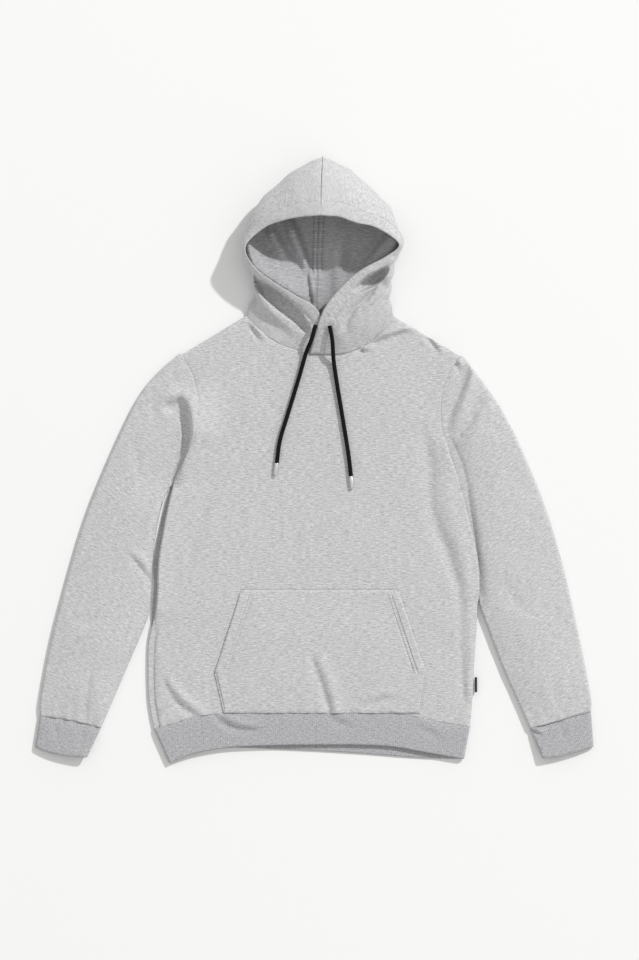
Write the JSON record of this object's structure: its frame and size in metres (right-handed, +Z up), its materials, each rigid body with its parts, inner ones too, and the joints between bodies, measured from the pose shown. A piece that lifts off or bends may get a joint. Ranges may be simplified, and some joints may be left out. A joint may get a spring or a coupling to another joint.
{
  "type": "pullover hoodie",
  "caption": "Heather grey fleece pullover hoodie laid flat on its back, hood open, with kangaroo pocket, rib cuffs and hem, and black drawcord.",
  "frame": {"origin": "centre of the laid-out garment's outline, on the surface it lies on", "axes": "+Y along the garment towards the hood, +Z up out of its front, +X to the right of someone looking down at it"},
  "size_m": [0.896, 0.971, 0.098],
  "materials": {
    "fleece": "soft heather grey loopback fleece",
    "rib": "darker heather grey rib knit",
    "drawcord": "braided black cord",
    "aglet": "polished metal tip",
    "label": "plain black woven tape"
  },
  "bodies": {
    "root": {"front_panel": "fleece", "back_panel": "fleece", "pocket": "fleece", "sleeve_left": "fleece", "sleeve_right": "fleece", "hood_left": "fleece", "hood_right": "fleece", "cuff_left": "rib", "cuff_right": "rib", "hem_band": "rib", "drawcord_left": "drawcord", "drawcord_right": "drawcord", "aglet_left": "aglet", "aglet_right": "aglet", "side_label": "label"}
  },
  "joints": []
}
